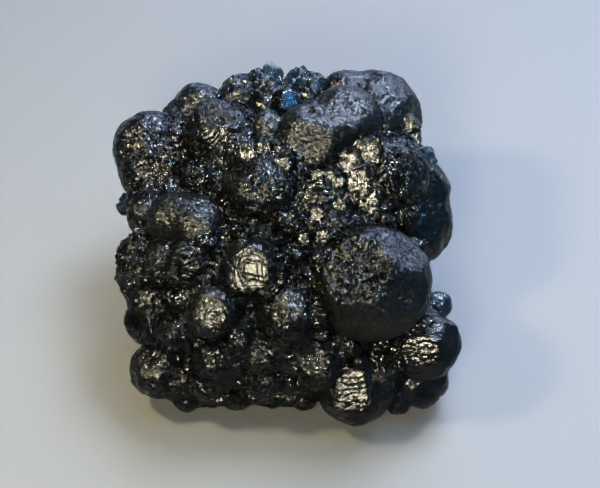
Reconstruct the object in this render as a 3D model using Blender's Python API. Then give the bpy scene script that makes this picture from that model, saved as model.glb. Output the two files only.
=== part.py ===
"""A fluorite cluster: dark, ball-shaped crystals grown into one another on a low rounded core.

Run it with blender --background --python part.py, or from Blender's text editor. Metres, +Z up.
The cluster rests on z = 0, where it is cut off flat, and the origin is the middle of that cut.

The side with the best crystals, the show face, leans back: it is seen square-on from SHOW_TILT
above the horizon. A crystal on it is set out in that leaning frame, by how far across, up and out
of the face its centre lies. The crystals of the hidden flanks stand in rings around the core.
"""

import itertools
import math
import random

import bmesh
import bpy
from mathutils import Euler, Matrix, Vector
from mathutils.geometry import normal as normal_of

MM = 0.001

# ---- driving dimensions ----
SHOW_TILT = math.radians(55)  # the show face's normal, above the horizon
SHOW_CENTRE = 20 * MM  # height of the show frame's origin over the base cut
CORE_HALF = Vector((24.6, 22.5, 18.5)) * MM  # half sizes of the core the crystals grow from
CORE_CENTRE = Vector((0, 3.0, 12.5)) * MM
CORE_SQUARENESS = 2.7  # 2 is an ellipsoid, more is boxier
PIT_RADIUS = 1.05 * MM
SHORTEST_SEAM = 0.1 * MM
LEAST_TURN_COSINE = 0.6  # a face may turn by about 50 degrees while a short seam is closed

# The forms of a cubic crystal, and how far from its middle each one's faces lie in shares of its
# radius: near enough to equal, the crystal is close to a ball.
FORM_CUTS = {
    (0, 0, 1): 0.94,  # cube
    (1, 1, 1): 0.955,  # octahedron
    (0, 1, 1): 0.965,  # rhombic dodecahedron, left out on small crystals
    (1, 1, 2): 0.98,  # trapezohedron, on large crystals only
}
LARGE_CRYSTAL = 6.4 * MM
SMALL_CRYSTAL = 3.7 * MM

# ---- the show face, in millimetres: across, up, out, radius ----
SHOW_CRYSTALS = {
    # top edge, left to right
    "west_shoulder": (-24.4, 17.4, -2.5, 6.2),
    "west_shoulder_foot": (-24.4, 12.6, -3.0, 5.3),
    "north_west": (-15.4, 24.1, -5.0, 4.8),
    "north_west_step": (-18.6, 22.4, -5.5, 3.6),
    "north_block": (-8.1, 26.2, -3.0, 3.9),
    "north_block_east": (-4.0, 26.7, -2.5, 4.1),
    "north_peak": (-2.4, 29.7, -3.0, 2.1),
    "north_chip": (2.3, 28.0, -2.5, 3.1),
    "north_chip_east": (4.7, 27.9, -2.5, 2.4),
    "north_rough": (4.4, 25.6, -0.5, 2.6),
    "north_dark": (-3.7, 23.9, -0.5, 3.0),
    "north_blue": (0.8, 25.2, -0.3, 2.4),
    "great_north_east": (15.1, 21.9, -4.0, 8.9),
    "north_east_shoulder": (10.5, 26.0, -2.5, 4.7),
    # upper half
    "pale_cap": (-11.9, 19.4, 2.5, 6.0),
    "below_pale_cap": (-14.5, 11.2, 4.0, 4.1),
    "slate": (-2.6, 19.6, 2.2, 3.9),
    "rippled": (4.6, 18.0, 5.3, 6.5),
    "rippled_shoulder": (10.4, 21.2, 3.3, 6.5),
    "dark_globe": (-4.2, 9.4, 6.9, 7.1),
    "globe_crown": (-3.4, 14.2, 7.4, 3.6),
    "tabular": (17.3, 12.1, 1.5, 7.9),
    "tabular_bump": (24.2, 15.2, -1.0, 2.2),
    "ledged_neck": (6.3, 8.3, 6.5, 4.8),
    "east_upper": (23.1, 9.3, -6.0, 6.1),
    "east_lower": (22.8, 3.4, -6.0, 7.0),
    # middle
    "west_knob": (-27.3, 6.8, -1.0, 2.3),
    "west_saddle": (-23.8, 5.1, 2.0, 4.2),
    "silky": (-14.9, 3.4, 8.2, 4.9),
    "silky_west": (-19.3, 4.2, 5.6, 5.0),
    "banded": (-16.4, -3.6, 9.7, 4.8),
    "banded_west": (-20.4, -3.2, 7.2, 4.7),
    "west_ball": (-24.7, -2.5, 3.0, 4.9),
    "west_ball_foot": (-25.2, -6.2, 4.5, 4.2),
    "ringed": (-6.3, -4.6, 12.5, 5.6),
    "speckled": (-12.4, -11.4, 12.5, 4.4),
    "pitted_giant": (14.8, -6.8, 11.0, 10.3),
    "centre_grey": (0.7, -11.9, 10.5, 6.0),
    # lower half
    "west_pillar": (-23.8, -13.4, 5.0, 4.3),
    "west_pillar_foot": (-18.4, -15.1, 8.3, 3.9),
    "beads": (-8.1, -16.3, 11.5, 2.4),
    "lower_left": (-12.4, -19.6, 7.5, 4.0),
    "lower_middle": (-4.2, -18.6, 8.5, 4.0),
    "corner": (-22.1, -22.0, 1.0, 5.3),
    "front_left": (-14.2, -23.6, 3.5, 3.6),
    "front_middle": (-3.7, -22.7, 5.0, 4.2),
    "front_block": (2.2, -23.2, 4.5, 3.0),
    "knuckle": (5.4, -20.7, 7.0, 4.7),
    "knuckle_side": (10.6, -17.5, 7.5, 2.7),
    "thumb": (12.6, -20.2, 6.5, 1.9),
    "dark_block": (16.6, -22.2, 4.0, 3.6),
    "front_ball": (12.1, -24.7, 1.5, 7.0),
    "blue_rim": (24.1, -17.5, 4.0, 6.3),
    "blue_rim_bump": (26.6, -10.7, 1.0, 2.5),
    "east_foot": (23.3, -23.7, -1.0, 5.4),
    "east_foot_ledge": (19.6, -27.9, -1.7, 2.3),
    # toes in the dark under the front edge
    "toe_left": (-17.2, -26.9, -1.8, 2.7),
    "toe_small": (-13.0, -27.2, -2.2, 1.8),
    "toe_middle": (-8.8, -26.5, -1.5, 2.9),
    "toe_right": (-2.6, -26.6, -2.0, 2.3),
    "toe_far_right": (3.2, -26.9, -2.0, 2.5),
}

# Large faces that stand out on single crystals: across, up, out, then the share of the radius.
SHOW_FACES = {
    "pitted_giant": (
        (-0.37, 0.30, 0.88, 0.80),
        (0.50, 0.68, 0.54, 0.86),
        (0.57, -0.14, 0.81, 0.88),
        (-0.15, -0.74, 0.65, 0.88),
        (1.00, 0.00, 0.05, 0.97),
    ),
    "blue_rim": (
        (-0.42, -0.10, 0.90, 0.82),
        (-0.18, 0.66, 0.73, 0.85),
        (0.70, 0.02, 0.71, 0.88),
        (0.05, -0.76, 0.65, 0.86),
    ),
    "front_ball": ((-0.14, -0.20, 0.97, 0.84), (0.60, 0.10, 0.79, 0.88), (-0.5, 0.5, 0.7, 0.9)),
    "pale_cap": ((0.03, -0.28, 0.96, 0.92), (0.24, 0.72, 0.65, 0.82), (-0.7, 0.0, 0.7, 0.92)),
    "rippled": ((-0.04, -0.20, 0.98, 0.86), (0.82, -0.25, 0.51, 0.84), (0.1, 0.75, 0.65, 0.88)),
    "rippled_shoulder": ((0.10, 0.35, 0.93, 0.86), (0.5, -0.6, 0.62, 0.88)),
    "great_north_east": ((0.35, 0.55, 0.76, 0.93), (-0.2, 0.8, 0.56, 0.92), (0.8, 0.1, 0.6, 0.93)),
    "dark_globe": ((-0.08, 0.02, 0.99, 0.93), (-0.55, 0.60, 0.58, 0.86)),
    "ringed": ((0.16, 0.06, 0.98, 0.83), (-0.65, -0.1, 0.75, 0.9), (0.1, -0.75, 0.65, 0.9)),
    "speckled": ((0.02, 0.02, 1.00, 0.76), (0.7, -0.5, 0.5, 0.86), (-0.75, 0.3, 0.6, 0.86)),
    "silky": ((0.12, -0.08, 0.98, 0.90), (-0.1, 0.7, 0.7, 0.88)),
    "banded": ((0.05, -0.10, 0.99, 0.86), (0.5, -0.6, 0.62, 0.88)),
    "tabular": ((-0.55, 0.30, 0.78, 0.86), (-0.45, -0.55, 0.70, 0.88), (0.5, -0.2, 0.84, 0.92)),
    "west_shoulder": ((0.08, 0.08, 0.99, 0.88), (-1.0, -0.1, 0.05, 0.97), (-0.68, 0.68, 0.28, 0.88)),
    "west_pillar": ((-0.25, 0.05, 0.97, 0.72), (-1.0, 0.0, 0.1, 0.95), (0.75, 0.0, 0.66, 0.7)),
    "corner": ((-0.05, 0.35, 0.94, 0.86), (-0.6, -0.75, 0.3, 0.94)),
    "knuckle": ((-0.10, 0.05, 0.99, 0.84), (0.0, -0.8, 0.6, 0.86)),
    "centre_grey": ((0.0, 0.15, 0.99, 0.90), (0.6, -0.5, 0.62, 0.9)),
    "slate": ((0.10, 0.35, 0.93, 0.82),),
    "east_foot": ((0.1, 0.2, 0.97, 0.82), (0.75, -0.5, 0.43, 0.92)),
    "north_block": ((-0.1, 0.9, 0.43, 0.84), (0.1, 0.2, 0.97, 0.84)),
    "north_blue": ((0.0, 0.35, 0.94, 0.80), (0.7, 0.0, 0.71, 0.8)),
    "north_west": ((0.25, 0.95, 0.2, 0.90), (-0.25, 0.15, 0.96, 0.88)),
}

# Stacks of growth steps: crystal, face number, steps, rise of a step (mm), lean of the stack.
STEP_STACKS = (
    ("blue_rim", 0, 3, 0.42, (0.0, 0.5)),
    ("front_ball", 0, 3, 0.40, (0.0, 0.5)),
    ("ringed", 0, 3, 0.34, (-0.3, 0.3)),
    ("rippled", 0, 2, 0.34, (0.0, 0.4)),
    ("banded", 0, 3, 0.55, (0.0, 0.5)),
    ("silky", 0, 2, 0.32, (0.0, 0.2)),
    ("speckled", 0, 1, 0.35, (0.1, 0.1)),
    ("west_shoulder", 0, 2, 0.40, (0.2, 0.3)),
    ("centre_grey", 0, 1, 0.40, (0.0, 0.3)),
    ("knuckle", 0, 2, 0.36, (0.0, 0.3)),
    ("pale_cap", 0, 1, 0.35, (0.0, 0.0)),
)

# Tablets and ledges that stand out of a crystal's side: across, up, out, radius, all in mm.
TABLETS = (
    (11.8, 16.2, 7.4, 2.0),
    (14.4, 15.6, 8.0, 2.6),
    (11.0, 13.9, 8.2, 2.3),
    (12.6, 10.4, 8.6, 2.7),
    (14.2, 7.0, 8.0, 2.6),
    (11.2, 7.6, 8.4, 1.7),
    (20.9, 21.0, 2.6, 1.8),
    (21.6, 17.6, 2.4, 1.9),
    (8.4, 6.6, 10.2, 2.3),
    (5.2, 8.8, 10.4, 2.6),
    (6.8, 10.9, 9.8, 2.8),
    (7.6, 3.2, 9.6, 2.2),
    (-3.6, 16.4, 10.2, 1.7),
    (-0.4, 13.6, 11.4, 1.9),
    (-6.6, 15.2, 10.0, 2.0),
)

# Small crystals in the valleys of the show face: across, up, out, radius, all in mm.
VALLEY_CRYSTALS = (
    (-1.6, 0.6, 11.6, 1.8),
    (1.4, -2.2, 12.2, 2.1),
    (2.8, 1.6, 11.2, 1.6),
    (-8.2, 2.2, 10.6, 1.7),
    (-11.6, -2.0, 11.6, 1.8),
    (3.9, -5.2, 12.4, 1.7),
    (-1.0, -5.8, 14.0, 1.7),
    (-10.2, 7.8, 8.6, 1.9),
    (-19.6, 9.4, 4.2, 2.3),
    (-18.0, 12.8, 2.6, 2.0),
    (-17.2, -9.2, 11.0, 2.4),
    (-13.6, -6.2, 12.6, 1.5),
    (-8.2, -20.6, 8.6, 1.8),
    (-18.6, -19.2, 5.2, 2.3),
    (0.6, -18.6, 9.8, 1.7),
    (6.0, -15.2, 11.0, 2.0),
    (18.6, -18.4, 6.4, 2.0),
    (-9.6, -26.0, 1.6, 1.9),
    (-19.0, -25.4, -0.4, 1.8),
    (-8.0, -23.8, 4.4, 1.9),
    (20.6, 4.2, 3.2, 1.9),
    (-9.4, 24.4, -1.4, 1.9),
    (-6.9, 21.3, 2.2, 1.8),
)

# The crystals under and behind the show face: an even spread over the whole core.
SPREAD_COUNT = 86
SPREAD_RADII = (4.8, 6.3)  # mm, on the flanks and the back
UNDER_RADII = (2.3, 3.3)  # mm, in the valleys of the show face
SHOW_SIDE = 0.28  # a direction that leans to the viewer more than this is on the show face
HALF_WIDTH = 27.6 * MM  # how far they reach to either side
GAP_FROM, GAP_BELOW, GAP_ABOVE = 16 * MM, -14 * MM, -2 * MM  # none in the gap in the right flank

PITS = (("pitted_giant", 0, 15), ("pale_cap", 1, 6))

CUBE_FACES = ((1, 0, 0), (-1, 0, 0), (0, 1, 0), (0, -1, 0), (0, 0, 1), (0, 0, -1))
CUBE_CORNERS = tuple(itertools.product((-1, 1), repeat=3))

def clear_scene():
    for obj in list(bpy.data.objects):
        bpy.data.objects.remove(obj)


def collection(name):
    made = bpy.data.collections.new(name)
    bpy.context.scene.collection.children.link(made)
    return made


def on_show_face(across, up, out):
    """A point of the leaning show frame, given in metres, as a point of the world."""
    sin_tilt, cos_tilt = math.sin(SHOW_TILT), math.cos(SHOW_TILT)
    return Vector((across, up * sin_tilt - out * cos_tilt, up * cos_tilt + out * sin_tilt + SHOW_CENTRE))


def show_direction(across, up, out):
    """A direction of the show frame as a unit vector of the world."""
    return (on_show_face(across, up, out) - on_show_face(0, 0, 0)).normalized()


def show_height(point):
    """How far up the show face a point of the world lies."""
    return (point.z - SHOW_CENTRE) * math.cos(SHOW_TILT) + point.y * math.sin(SHOW_TILT)


VIEWER = show_direction(0, 0, 1)


def fluorite():
    material = bpy.data.materials.new("midnight blue fluorite")
    material.use_nodes = True
    shader = material.node_tree.nodes["Principled BSDF"]
    shader.inputs["Base Color"].default_value = (0.012, 0.022, 0.035, 1)
    shader.inputs["Roughness"].default_value = 0.28
    shader.inputs["IOR"].default_value = 1.434
    return material


def object_of(bm, name, place):
    """Stores bm as an object in place; one that only helps a Boolean is hidden from the render."""
    bmesh.ops.recalc_face_normals(bm, faces=bm.faces)
    mesh = bpy.data.meshes.new(name)
    bm.to_mesh(mesh)
    bm.free()
    obj = bpy.data.objects.new(name, mesh)
    place.objects.link(obj)
    return obj


def helper(obj):
    obj.hide_render = True
    obj.display_type = "WIRE"
    return obj


def slice_off(bm, point, normal):
    """Cuts away what lies beyond a plane and closes the cut with one flat face."""
    geometry = bm.verts[:] + bm.edges[:] + bm.faces[:]
    bmesh.ops.bisect_plane(
        bm, geom=geometry, dist=1e-6, plane_co=point, plane_no=normal, clear_outer=True
    )
    open_edges = [edge for edge in bm.edges if edge.is_boundary]
    if open_edges:
        bmesh.ops.holes_fill(bm, edges=open_edges, sides=0)


def form_faces(dice, radius):
    """(normal, share of the radius) of a cubic crystal's faces: the larger it is, the more forms."""
    turn = random_turn(dice)
    forms = dict(FORM_CUTS)
    if radius < LARGE_CRYSTAL:
        del forms[(1, 1, 2)]
    if radius < SMALL_CRYSTAL:
        del forms[(0, 1, 1)]
    faces = []
    for x, y, z in itertools.product((-2, -1, 0, 1, 2), repeat=3):
        cut = forms.get(tuple(sorted((abs(x), abs(y), abs(z)))))
        if cut:
            faces.append((turn @ Vector((x, y, z)).normalized(), cut * dice.uniform(0.98, 1.02)))
    return faces


def random_turn(dice):
    return Euler([dice.uniform(0, math.tau) for _ in range(3)]).to_matrix()


def crystal(name, centre, radius, faces, place):
    """The solid inside all the faces, each (world normal, share of the radius)."""
    bm = bmesh.new()
    bmesh.ops.create_cube(bm, size=2.4 * radius)
    for normal, share in faces:
        slice_off(bm, normal * radius * share, normal)
    bmesh.ops.remove_doubles(bm, verts=bm.verts, dist=0.05 * MM)
    obj = helper(object_of(bm, name, place))
    obj.location = centre
    return obj


def show_crystal(name, place):
    across, up, out, radius = (value * MM for value in SHOW_CRYSTALS[name])
    own = [
        (show_direction(*face[:3]), face[3] + 0.002 * n)
        for n, face in enumerate(SHOW_FACES.get(name, ()))
    ]
    cut_normals = [normal for normal, _ in own]
    others = [
        (normal, share)
        for normal, share in form_faces(random.Random(name), radius)
        if all(normal.dot(taken) < 0.92 for taken in cut_normals)
    ]
    crystal(name, on_show_face(across, up, out), radius, own + others, place)


def face_frame(name, number):
    """(middle, normal, radius) of one large face of a show crystal."""
    across, up, out, radius = (value * MM for value in SHOW_CRYSTALS[name])
    face = SHOW_FACES[name][number]
    normal = show_direction(*face[:3])
    middle = on_show_face(across, up, out) + normal * radius * face[3]
    return middle, normal, radius * math.sqrt(1 - face[3] ** 2)


def slab(name, middle, normal, radius, height, sink, place, sides=8):
    """An irregular flat-topped plate, sunk into what it grows from and narrower at its top."""
    bm = bmesh.new()
    bmesh.ops.create_cone(
        bm,
        cap_ends=True,
        segments=sides,
        radius1=radius * 1.08,
        radius2=radius,
        depth=height + sink,
        matrix=Matrix.Translation((0, 0, (height - sink) / 2)),
    )
    dice = random.Random(name)
    stretch = [dice.uniform(0.80, 1.16) for _ in range(sides)]
    for vert in bm.verts:
        around = math.atan2(vert.co.y, vert.co.x) % math.tau
        share = stretch[round(around / math.tau * sides) % sides]
        vert.co.x *= share
        vert.co.y *= share
    obj = helper(object_of(bm, name, place))
    spin = Matrix.Rotation(dice.uniform(0, math.tau), 4, "Z")
    turn = normal.to_track_quat("Z", "Y").to_matrix().to_4x4()
    obj.matrix_world = Matrix.Translation(middle) @ turn @ spin
    return obj


def step_stacks(place):
    """Growth steps: plates on a face, each smaller than the last and shifted to one side."""
    dice = random.Random("step stacks")
    for name, number, steps, rise, lean in STEP_STACKS:
        middle, normal, reach = face_frame(name, number)
        shift = show_direction(*lean, 0) * Vector((*lean, 0)).length if any(lean) else Vector()
        for step in range(steps):
            radius = reach * (0.86 - 0.24 * step)
            place_at = middle + shift * reach * 0.30 * (step + 0.4)
            tilted = (normal + 0.02 * show_direction(*(dice.uniform(-1, 1) for _ in range(3)))).normalized()
            slab(f"step_{name}_{step}", place_at, tilted, radius, rise * MM * (step + 1),
                 (1.3 + 0.13 * step) * MM, place)


def tablets(place):
    """Flat tablets on the tabular crystal and the ledged neck, all facing much the same way."""
    dice = random.Random("tablets")
    for n, tablet in enumerate(TABLETS):
        across, up, out, radius = (value * MM for value in tablet)
        normal = show_direction(-0.28 + dice.uniform(-0.1, 0.1), dice.uniform(-0.1, 0.1), 1)
        slab(f"tablet_{n}", on_show_face(across, up, out), normal, radius, 0.1 * MM, 3.2 * MM, place,
             sides=7)


def valley_crystals(place):
    for n, small in enumerate(VALLEY_CRYSTALS):
        across, up, out, radius = (value * MM for value in small)
        turn = random_turn(random.Random(f"valley_{n}"))
        cube = [(turn @ Vector(face), 0.74) for face in CUBE_FACES]
        corners = [(turn @ Vector(corner).normalized(), 0.95) for corner in CUBE_CORNERS]
        crystal(f"valley_{n}", on_show_face(across, up, out), radius, cube + corners, place)


def core_radius(direction):
    """How far the core's surface is from its centre, along a unit vector: a rounded block."""
    total = sum(abs(direction[i] / CORE_HALF[i]) ** CORE_SQUARENESS for i in range(3))
    return total ** (-1 / CORE_SQUARENESS)


def spread_places():
    """(name, centre, radius) of an even spiral of crystals over the core, larger off the show face."""
    golden = math.pi * (3 - math.sqrt(5))
    dice = random.Random("spread")
    for n in range(SPREAD_COUNT):
        height = 1 - 2 * (n + 0.5) / SPREAD_COUNT
        ring = math.sqrt(1 - height * height)
        around = golden * n + dice.uniform(-0.1, 0.1)
        direction = Vector((ring * math.cos(around), ring * math.sin(around), height))
        on_show_side = direction.dot(VIEWER) > SHOW_SIDE
        radius = dice.uniform(*(UNDER_RADII if on_show_side else SPREAD_RADII)) * MM
        sink = 0.0 if on_show_side else 0.30
        centre = CORE_CENTRE + direction * (core_radius(direction) - sink * radius)
        in_gap = centre.x > GAP_FROM and GAP_BELOW < show_height(centre) < GAP_ABOVE
        if in_gap or centre.z < -0.5 * radius:
            continue
        centre.x = min(max(centre.x, radius - HALF_WIDTH), HALF_WIDTH - radius)
        yield f"spread_{n}", centre, radius


def spread_crystals(place):
    for name, centre, radius in spread_places():
        few_forms = min(radius, SMALL_CRYSTAL - MM)
        crystal(name, centre, radius, form_faces(random.Random(name), few_forms), place)


def core(place):
    """The rounded block under the crystals."""
    bm = bmesh.new()
    bmesh.ops.create_icosphere(bm, subdivisions=3, radius=1)
    for vert in bm.verts:
        vert.co = vert.co.normalized() * core_radius(vert.co.normalized())
    obj = object_of(bm, "fluorite_cluster", place)
    obj.location = CORE_CENTRE
    return obj


def pits(place):
    """Blunt hollows sunk into the pitted faces, spread by the golden angle from the middle out."""
    golden = math.pi * (3 - math.sqrt(5))
    for name, number, count in PITS:
        middle, normal, reach = face_frame(name, number)
        turn = normal.to_track_quat("Z", "Y").to_matrix()
        dice = random.Random(f"pits of {name}")
        for n in range(count):
            out = 0.88 * reach * math.sqrt((n + 0.5) / count)
            at = Vector((math.cos(golden * n), math.sin(golden * n), 0)) * out
            size = PIT_RADIUS * dice.uniform(0.75, 1.25)
            bm = bmesh.new()
            bmesh.ops.create_icosphere(
                bm, subdivisions=1, radius=size, matrix=random_turn(dice).to_4x4()
            )
            pit = helper(object_of(bm, f"pit_{name}_{n}", place))
            pit.location = middle + turn @ at + normal * size * 0.25


def base_cutter(place):
    """A block whose top is the plane z = 0."""
    bm = bmesh.new()
    bmesh.ops.create_cube(bm, size=1)
    block = helper(object_of(bm, "base_cutter", place))
    block.dimensions = (100 * MM, 100 * MM, 40 * MM)
    block.location = (0, 0, -20 * MM)


def add_boolean(obj, operation, operands):
    modifier = obj.modifiers.new(operation.lower() + " " + operands.name, "BOOLEAN")
    modifier.operation = operation
    modifier.operand_type = "COLLECTION"
    modifier.collection = operands
    modifier.solver = "EXACT"


def settle(body):
    """Makes the joined shape the body's own mesh: one shell, without seams too short to see."""
    joined = body.evaluated_get(bpy.context.evaluated_depsgraph_get())
    bm = bmesh.new()
    bm.from_mesh(bpy.data.meshes.new_from_object(joined))
    for shell in shells(bm)[1:]:  # a void that crystals closed off between them is grown full
        bmesh.ops.delete(bm, geom=shell, context="VERTS")
    bmesh.ops.triangulate(bm, faces=[face for face in bm.faces if len(face.verts) > 3])
    draw_short_seams_together(bm)
    body.modifiers.clear()
    bm.to_mesh(body.data)
    bm.free()


def stays_unfolded(vert, other, target):
    """Whether the faces at vert, apart from those it shares with other, keep facing much the same way."""
    for face in vert.link_faces:
        if other in face.verts:
            continue
        moved = normal_of([target if corner is vert else corner.co for corner in face.verts])
        if moved.dot(face.normal) < LEAST_TURN_COSINE:
            return False
    return True


def draw_short_seams_together(bm):
    """Merges the ends of each seam too short to see, wherever the surface stays closed and unfolded."""
    short = [edge for edge in bm.edges if edge.calc_length() < SHORTEST_SEAM]
    for edge in sorted(short, key=lambda edge: edge.calc_length()):
        if not edge.is_valid:
            continue
        first, second = edge.verts
        around_first = {other.other_vert(first) for other in first.link_edges}
        around_second = {other.other_vert(second) for other in second.link_edges}
        kept, gone = sorted(edge.verts, key=lambda vert: vert.co.z)
        if len(around_first & around_second) == 2 and stays_unfolded(gone, kept, kept.co):
            bmesh.ops.pointmerge(bm, verts=[kept, gone], merge_co=kept.co)
            for face in kept.link_faces:
                face.normal_update()


def shells(bm):
    """The vertices of each separate closed surface, the one with the most first."""
    left, found = set(bm.verts), []
    while left:
        reached = [left.pop()]
        for vert in reached:
            for edge in vert.link_edges:
                other = edge.other_vert(vert)
                if other in left:
                    left.remove(other)
                    reached.append(other)
        found.append(reached)
    return sorted(found, key=len, reverse=True)


def main():
    clear_scene()
    cluster = collection("fluorite cluster")
    grown = collection("crystals to join")
    hollows = collection("pits to cut")
    below = collection("base to cut")
    body = core(cluster)
    body.data.materials.append(fluorite())
    for name in SHOW_CRYSTALS:
        show_crystal(name, grown)
    step_stacks(grown)
    tablets(grown)
    valley_crystals(grown)
    spread_crystals(grown)
    pits(hollows)
    base_cutter(below)
    add_boolean(body, "UNION", grown)
    add_boolean(body, "DIFFERENCE", hollows)
    add_boolean(body, "DIFFERENCE", below)
    settle(body)


main()
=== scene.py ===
# %% [markdown]
# # A fluorite cluster
#
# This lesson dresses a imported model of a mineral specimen: dark, ball-shaped fluorite crystals that grew
# into one another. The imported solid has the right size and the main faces. Here the same crystals are made
# again as fine surfaces, with growth steps, pits and ledges, joined into one closed skin, and given the
# finish of a glassy stone that is almost black because light is lost on its way through.

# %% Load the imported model
import functools
import math
import random
from collections import namedtuple

import bmesh
import bpy
import numpy as np
from mathutils import Euler, Matrix, Vector


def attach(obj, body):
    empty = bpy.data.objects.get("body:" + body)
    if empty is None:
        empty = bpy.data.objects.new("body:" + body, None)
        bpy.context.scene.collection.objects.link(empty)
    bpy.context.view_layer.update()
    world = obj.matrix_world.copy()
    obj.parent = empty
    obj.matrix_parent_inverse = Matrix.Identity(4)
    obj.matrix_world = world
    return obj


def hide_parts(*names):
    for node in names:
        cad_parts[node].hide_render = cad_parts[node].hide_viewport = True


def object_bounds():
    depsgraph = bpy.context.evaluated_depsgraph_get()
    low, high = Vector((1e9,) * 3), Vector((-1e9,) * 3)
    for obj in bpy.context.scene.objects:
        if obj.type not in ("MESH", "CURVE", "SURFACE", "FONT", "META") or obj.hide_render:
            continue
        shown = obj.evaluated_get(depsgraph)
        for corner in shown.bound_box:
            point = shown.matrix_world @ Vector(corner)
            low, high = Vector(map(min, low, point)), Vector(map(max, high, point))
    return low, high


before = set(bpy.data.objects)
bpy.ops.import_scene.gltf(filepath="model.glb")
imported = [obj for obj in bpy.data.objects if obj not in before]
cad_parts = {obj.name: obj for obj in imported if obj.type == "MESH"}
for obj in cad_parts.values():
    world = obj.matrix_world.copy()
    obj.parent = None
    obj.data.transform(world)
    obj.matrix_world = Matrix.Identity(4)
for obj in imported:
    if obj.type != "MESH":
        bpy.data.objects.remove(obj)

cad_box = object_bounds()
print("packed model's box, in metres:", cad_box)

# %% [markdown]
# ## The leaning show face
#
# The best crystals sit on a side that leans back, seen square-on from 55 degrees above the horizon. It is
# easiest to say where such a crystal is in that leaning frame: how far across, up and out of the face its
# middle lies. Three unit axes turn those numbers into the model's own axes. Lengths here are in
# millimetres, and one factor at the end makes metres of them.

# %% The show frame
MM = 0.001
SHOW_TILT = math.radians(55)
SHOW_CENTRE = np.array([0.0, 0.0, 20.0])
SHOW_AXES = np.array([
    [1.0, 0.0, 0.0],
    [0.0, math.sin(SHOW_TILT), math.cos(SHOW_TILT)],
    [0.0, -math.cos(SHOW_TILT), math.sin(SHOW_TILT)],
])  # across, up, out


def unit(vectors):
    """Each vector divided by its length."""
    vectors = np.asarray(vectors, float)
    return vectors / np.linalg.norm(vectors, axis=-1, keepdims=True)


def from_show(places):
    """Places (across, up, out) as model places: the sum of the three axes, each times its share."""
    return np.asarray(places, float) @ SHOW_AXES + SHOW_CENTRE


def show_normals(directions):
    """Directions of the show frame as unit vectors of the model."""
    return unit(np.asarray(directions, float) @ SHOW_AXES)


VIEWER = show_normals((0, 0, 1))
print("the viewer is towards", VIEWER.round(3))

# %% [markdown]
# ## Random but repeatable patterns
#
# Natural relief is irregular, yet the script must give the same stone each time. So nothing is drawn from
# a running random source. Instead a whole-number cell of space is scrambled into a number between 0 and 1,
# the same number each time it is asked for. Two patterns come from that: soft noise, which swells and
# sinks, and cells, like cobbles, for druse and pits.

# %% Scrambled cells, soft noise and cobbles


def scrambled(cells, seed):
    """Three whole numbers per row, mixed by multiplying and folding into one number from 0 to 1."""
    cells = cells.astype(np.int64).astype(np.uint32)
    mixed = cells[..., 0] * np.uint32(73856093) ^ cells[..., 1] * np.uint32(19349663)
    mixed = mixed ^ cells[..., 2] * np.uint32(83492791) ^ np.uint32((seed * 2654435761) & 0xFFFFFFFF)
    for fold, factor in ((16, 0x7FEB352D), (15, 0x846CA68B)):
        mixed = (mixed ^ (mixed >> np.uint32(fold))) * np.uint32(factor)
    mixed = mixed ^ (mixed >> np.uint32(16))
    return mixed / 4294967296.0


def soft_noise(points, seed=0):
    """Random numbers at the corners of the unit cell around each point, blended smoothly: -1 to 1."""
    low = np.floor(points)
    share = points - low
    share = share * share * (3 - 2 * share)
    total = np.zeros(len(points))
    for corner in np.ndindex(2, 2, 2):
        corner = np.array(corner)
        weight = np.prod(np.where(corner, share, 1 - share), axis=1)
        total += weight * scrambled(low + corner, seed)
    return 2 * total - 1


OCTAVE_SHIFT = 7.3


def rough_noise(points, seed=0, octaves=3):
    """Soft noise at several sizes, each half the last in size and strength."""
    sizes = range(octaves)
    total = sum(soft_noise(points * 2 ** k + OCTAVE_SHIFT * k, seed + k) / 2 ** k for k in sizes)
    return total / (2 - 2 ** (1 - octaves))


def cells_of(points, seed=0):
    """One random seed point in each unit cell: the distances to the nearest and to the second nearest
    of them, a random number that belongs to the nearest, and the way from the nearest to the point."""
    low = np.floor(points)
    first = np.full(len(points), 9.0)
    second = first.copy()
    owner = np.zeros(len(points))
    way = np.zeros_like(points)
    for step in np.ndindex(3, 3, 3):
        cell = low + np.array(step) - 1
        place = cell + np.stack([scrambled(cell, seed + k) for k in (11, 12, 13)], axis=1)
        gap = np.linalg.norm(points - place, axis=1)
        nearer = gap < first
        second = np.where(nearer, first, np.minimum(second, gap))
        owner = np.where(nearer, scrambled(cell, seed + 14), owner)
        way = np.where(nearer[:, None], points - place, way)
        first = np.where(nearer, gap, first)
    return first, second, owner, way


def smooth_step(values, low, high):
    """0 below low, 1 above high, and an S-shaped rise between."""
    share = np.clip((values - low) / (high - low), 0, 1)
    return share * share * (3 - 2 * share)


def stairs(depth, step, riser):
    """Depth gathered into steps: flat for most of each step, then a quick fall over the riser's share."""
    whole = np.floor(depth / step)
    return step * (whole + smooth_step(depth / step - whole, 1 - riser, 1))


some_places = np.array([[0.2, 0.1, 0.4], [3.3, 1, 2], [9, 9.5, 7]])
print("soft noise at three places:", soft_noise(some_places).round(3))

# %% [markdown]
# ## The crystals
#
# Each crystal of the show face has a name, its middle (across, up, out), its radius, and a finish: how
# its skin grew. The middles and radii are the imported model's own, apart from north_blue, ringed and
# speckled, which are moved or grown a little so that their bright faces sit where they should.

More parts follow.
